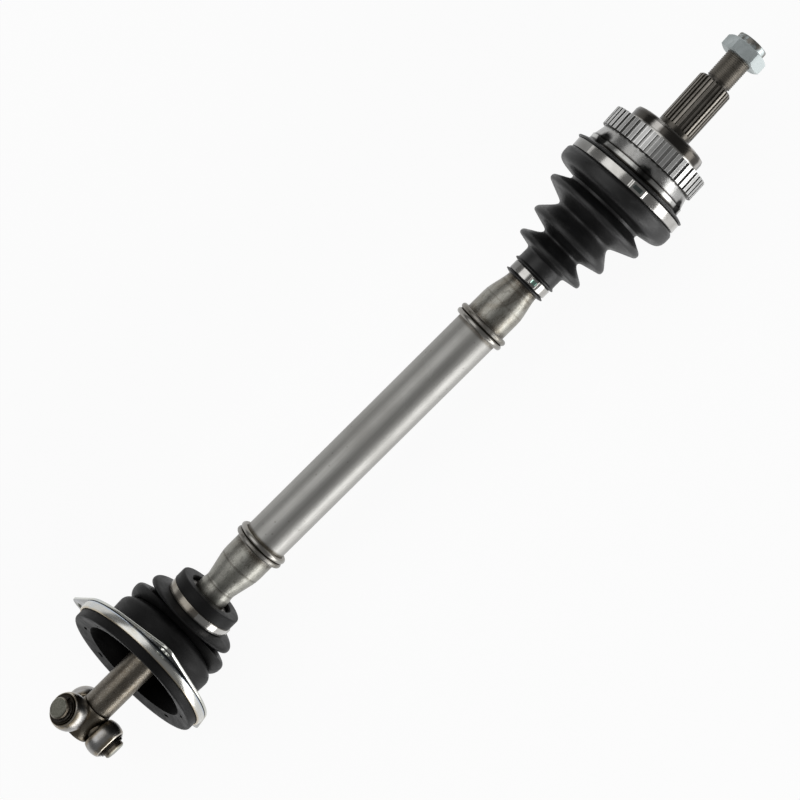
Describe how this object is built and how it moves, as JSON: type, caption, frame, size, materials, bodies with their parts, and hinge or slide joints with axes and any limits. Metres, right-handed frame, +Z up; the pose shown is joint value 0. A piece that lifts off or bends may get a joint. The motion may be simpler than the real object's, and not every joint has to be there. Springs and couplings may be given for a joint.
{
  "type": "front drive shaft",
  "caption": "Car drive shaft with a bare tripod joint, a boot with a bolted gearbox plate, a welded tube, and a booted ball joint with toothed ring, splined stub and nut.",
  "frame": {"origin": "centre of the tripod joint, on the shaft's axis", "axes": "+X along the shaft from the tripod to the wheel end, +Z up as the shaft lies on a bench, +Y to its left"},
  "size_m": [0.7149, 0.137, 0.1232],
  "materials": {
    "dark_steel": "machined, oiled and darkened",
    "tube_steel": "satin drawn tube",
    "roller_steel": "ground and oily",
    "spring_steel": "blackened spring steel",
    "bearing_steel": "ground",
    "cage_plastic": "moulded",
    "seal_rubber": "matte",
    "inner_boot_rubber": "matte moulded rubber",
    "outer_boot_rubber": "matte moulded rubber",
    "zinc_plate": "pressed and zinc plated",
    "clamp_steel": "bright stainless strip",
    "bell_steel": "forged and turned",
    "tooth_ring_steel": "machined teeth",
    "nut_zinc": "zinc plated",
    "nylon": "moulded"
  },
  "bodies": {
    "shaft": {"inner_stub_shaft": "dark_steel", "shaft_tube": "tube_steel", "outer_stub_shaft": "dark_steel", "spider": "dark_steel", "spider_circlip": "spring_steel", "roller_washers": "spring_steel", "roller_circlips": "spring_steel", "bearing_inner_ring": "bearing_steel", "inner_race": "bearing_steel", "race_circlip": "spring_steel", "outer_boot_small_clamp": "clamp_steel"},
    "roller_1": {"roller_1": "roller_steel", "needle_rollers_1": "bearing_steel"},
    "roller_2": {"roller_2": "roller_steel", "needle_rollers_2": "bearing_steel"},
    "roller_3": {"roller_3": "roller_steel", "needle_rollers_3": "bearing_steel"},
    "boot_collar": {"bearing_outer_ring": "bearing_steel", "bearing_seals": "seal_rubber", "inner_boot_clamp": "clamp_steel"},
    "bearing_cage": {"bearing_balls": "bearing_steel", "bearing_cage": "cage_plastic"},
    "boot_folds": {"inner_boot": "inner_boot_rubber"},
    "gearbox_plate": {"gearbox_plate": "zinc_plate"},
    "bell": {"outer_joint_bell": "bell_steel", "tooth_ring": "tooth_ring_steel", "outer_boot": "outer_boot_rubber", "outer_boot_large_clamp": "clamp_steel"},
    "ball_cage": {"ball_cage": "bearing_steel", "joint_balls": "bearing_steel"},
    "hub_nut": {"hub_nut": "nut_zinc", "nut_lock_ring": "nylon"}
  },
  "joints": [
    {"name": "roller_1_spin", "type": "hinge", "parent": "shaft", "child": "roller_1", "pos_m": [0, 0, 0], "axis": [0, 0.6157, 0.788], "continuous": true},
    {"name": "roller_2_spin", "type": "hinge", "parent": "shaft", "child": "roller_2", "pos_m": [0, 0, 0], "axis": [0, -0.9903, 0.1392], "continuous": true},
    {"name": "roller_3_spin", "type": "hinge", "parent": "shaft", "child": "roller_3", "pos_m": [0, 0, 0], "axis": [0, 0.3746, -0.9272], "continuous": true},
    {"name": "boot_spin", "type": "hinge", "parent": "shaft", "child": "boot_collar", "pos_m": [0.127, 0, 0], "axis": [1, 0, 0], "continuous": true},
    {"name": "bearing_cage_spin", "type": "hinge", "parent": "shaft", "child": "bearing_cage", "pos_m": [0.127, 0, 0], "axis": [1, 0, 0], "continuous": true},
    {"name": "plate_lean", "type": "hinge", "parent": "boot_collar", "child": "boot_folds", "pos_m": [0.07605, 0, 0], "axis": [0, 1, 0], "range_deg": [-58, 0], "deforming": ["inner_boot"]},
    {"name": "plate_plunge", "type": "slide", "parent": "boot_folds", "child": "gearbox_plate", "axis": [0.8746, 0, -0.4848], "range_m": [-0.01, 0.01], "stiffness_N_per_m": 4000},
    {"name": "wheel_joint_bend", "type": "hinge", "parent": "shaft", "child": "bell", "pos_m": [0.575, 0, 0], "axis": [0, 0, 1], "range_deg": [-48.1, 41.9], "deforming": ["outer_boot"]},
    {"name": "ball_cage_bend", "type": "hinge", "parent": "shaft", "child": "ball_cage", "pos_m": [0.575, 0, 0], "axis": [0, 0, 1], "range_deg": [-24.1, 21]},
    {"name": "nut_run", "type": "slide", "parent": "bell", "child": "hub_nut", "axis": [0.9985, 0.0541, 0], "range_m": [-0.015, 0.035]}
  ],
  "couplings": [
    {"joint": "bearing_cage_spin", "follows": "boot_spin", "ratio": 0.5699},
    {"joint": "ball_cage_bend", "follows": "wheel_joint_bend", "ratio": 0.5}
  ]
}
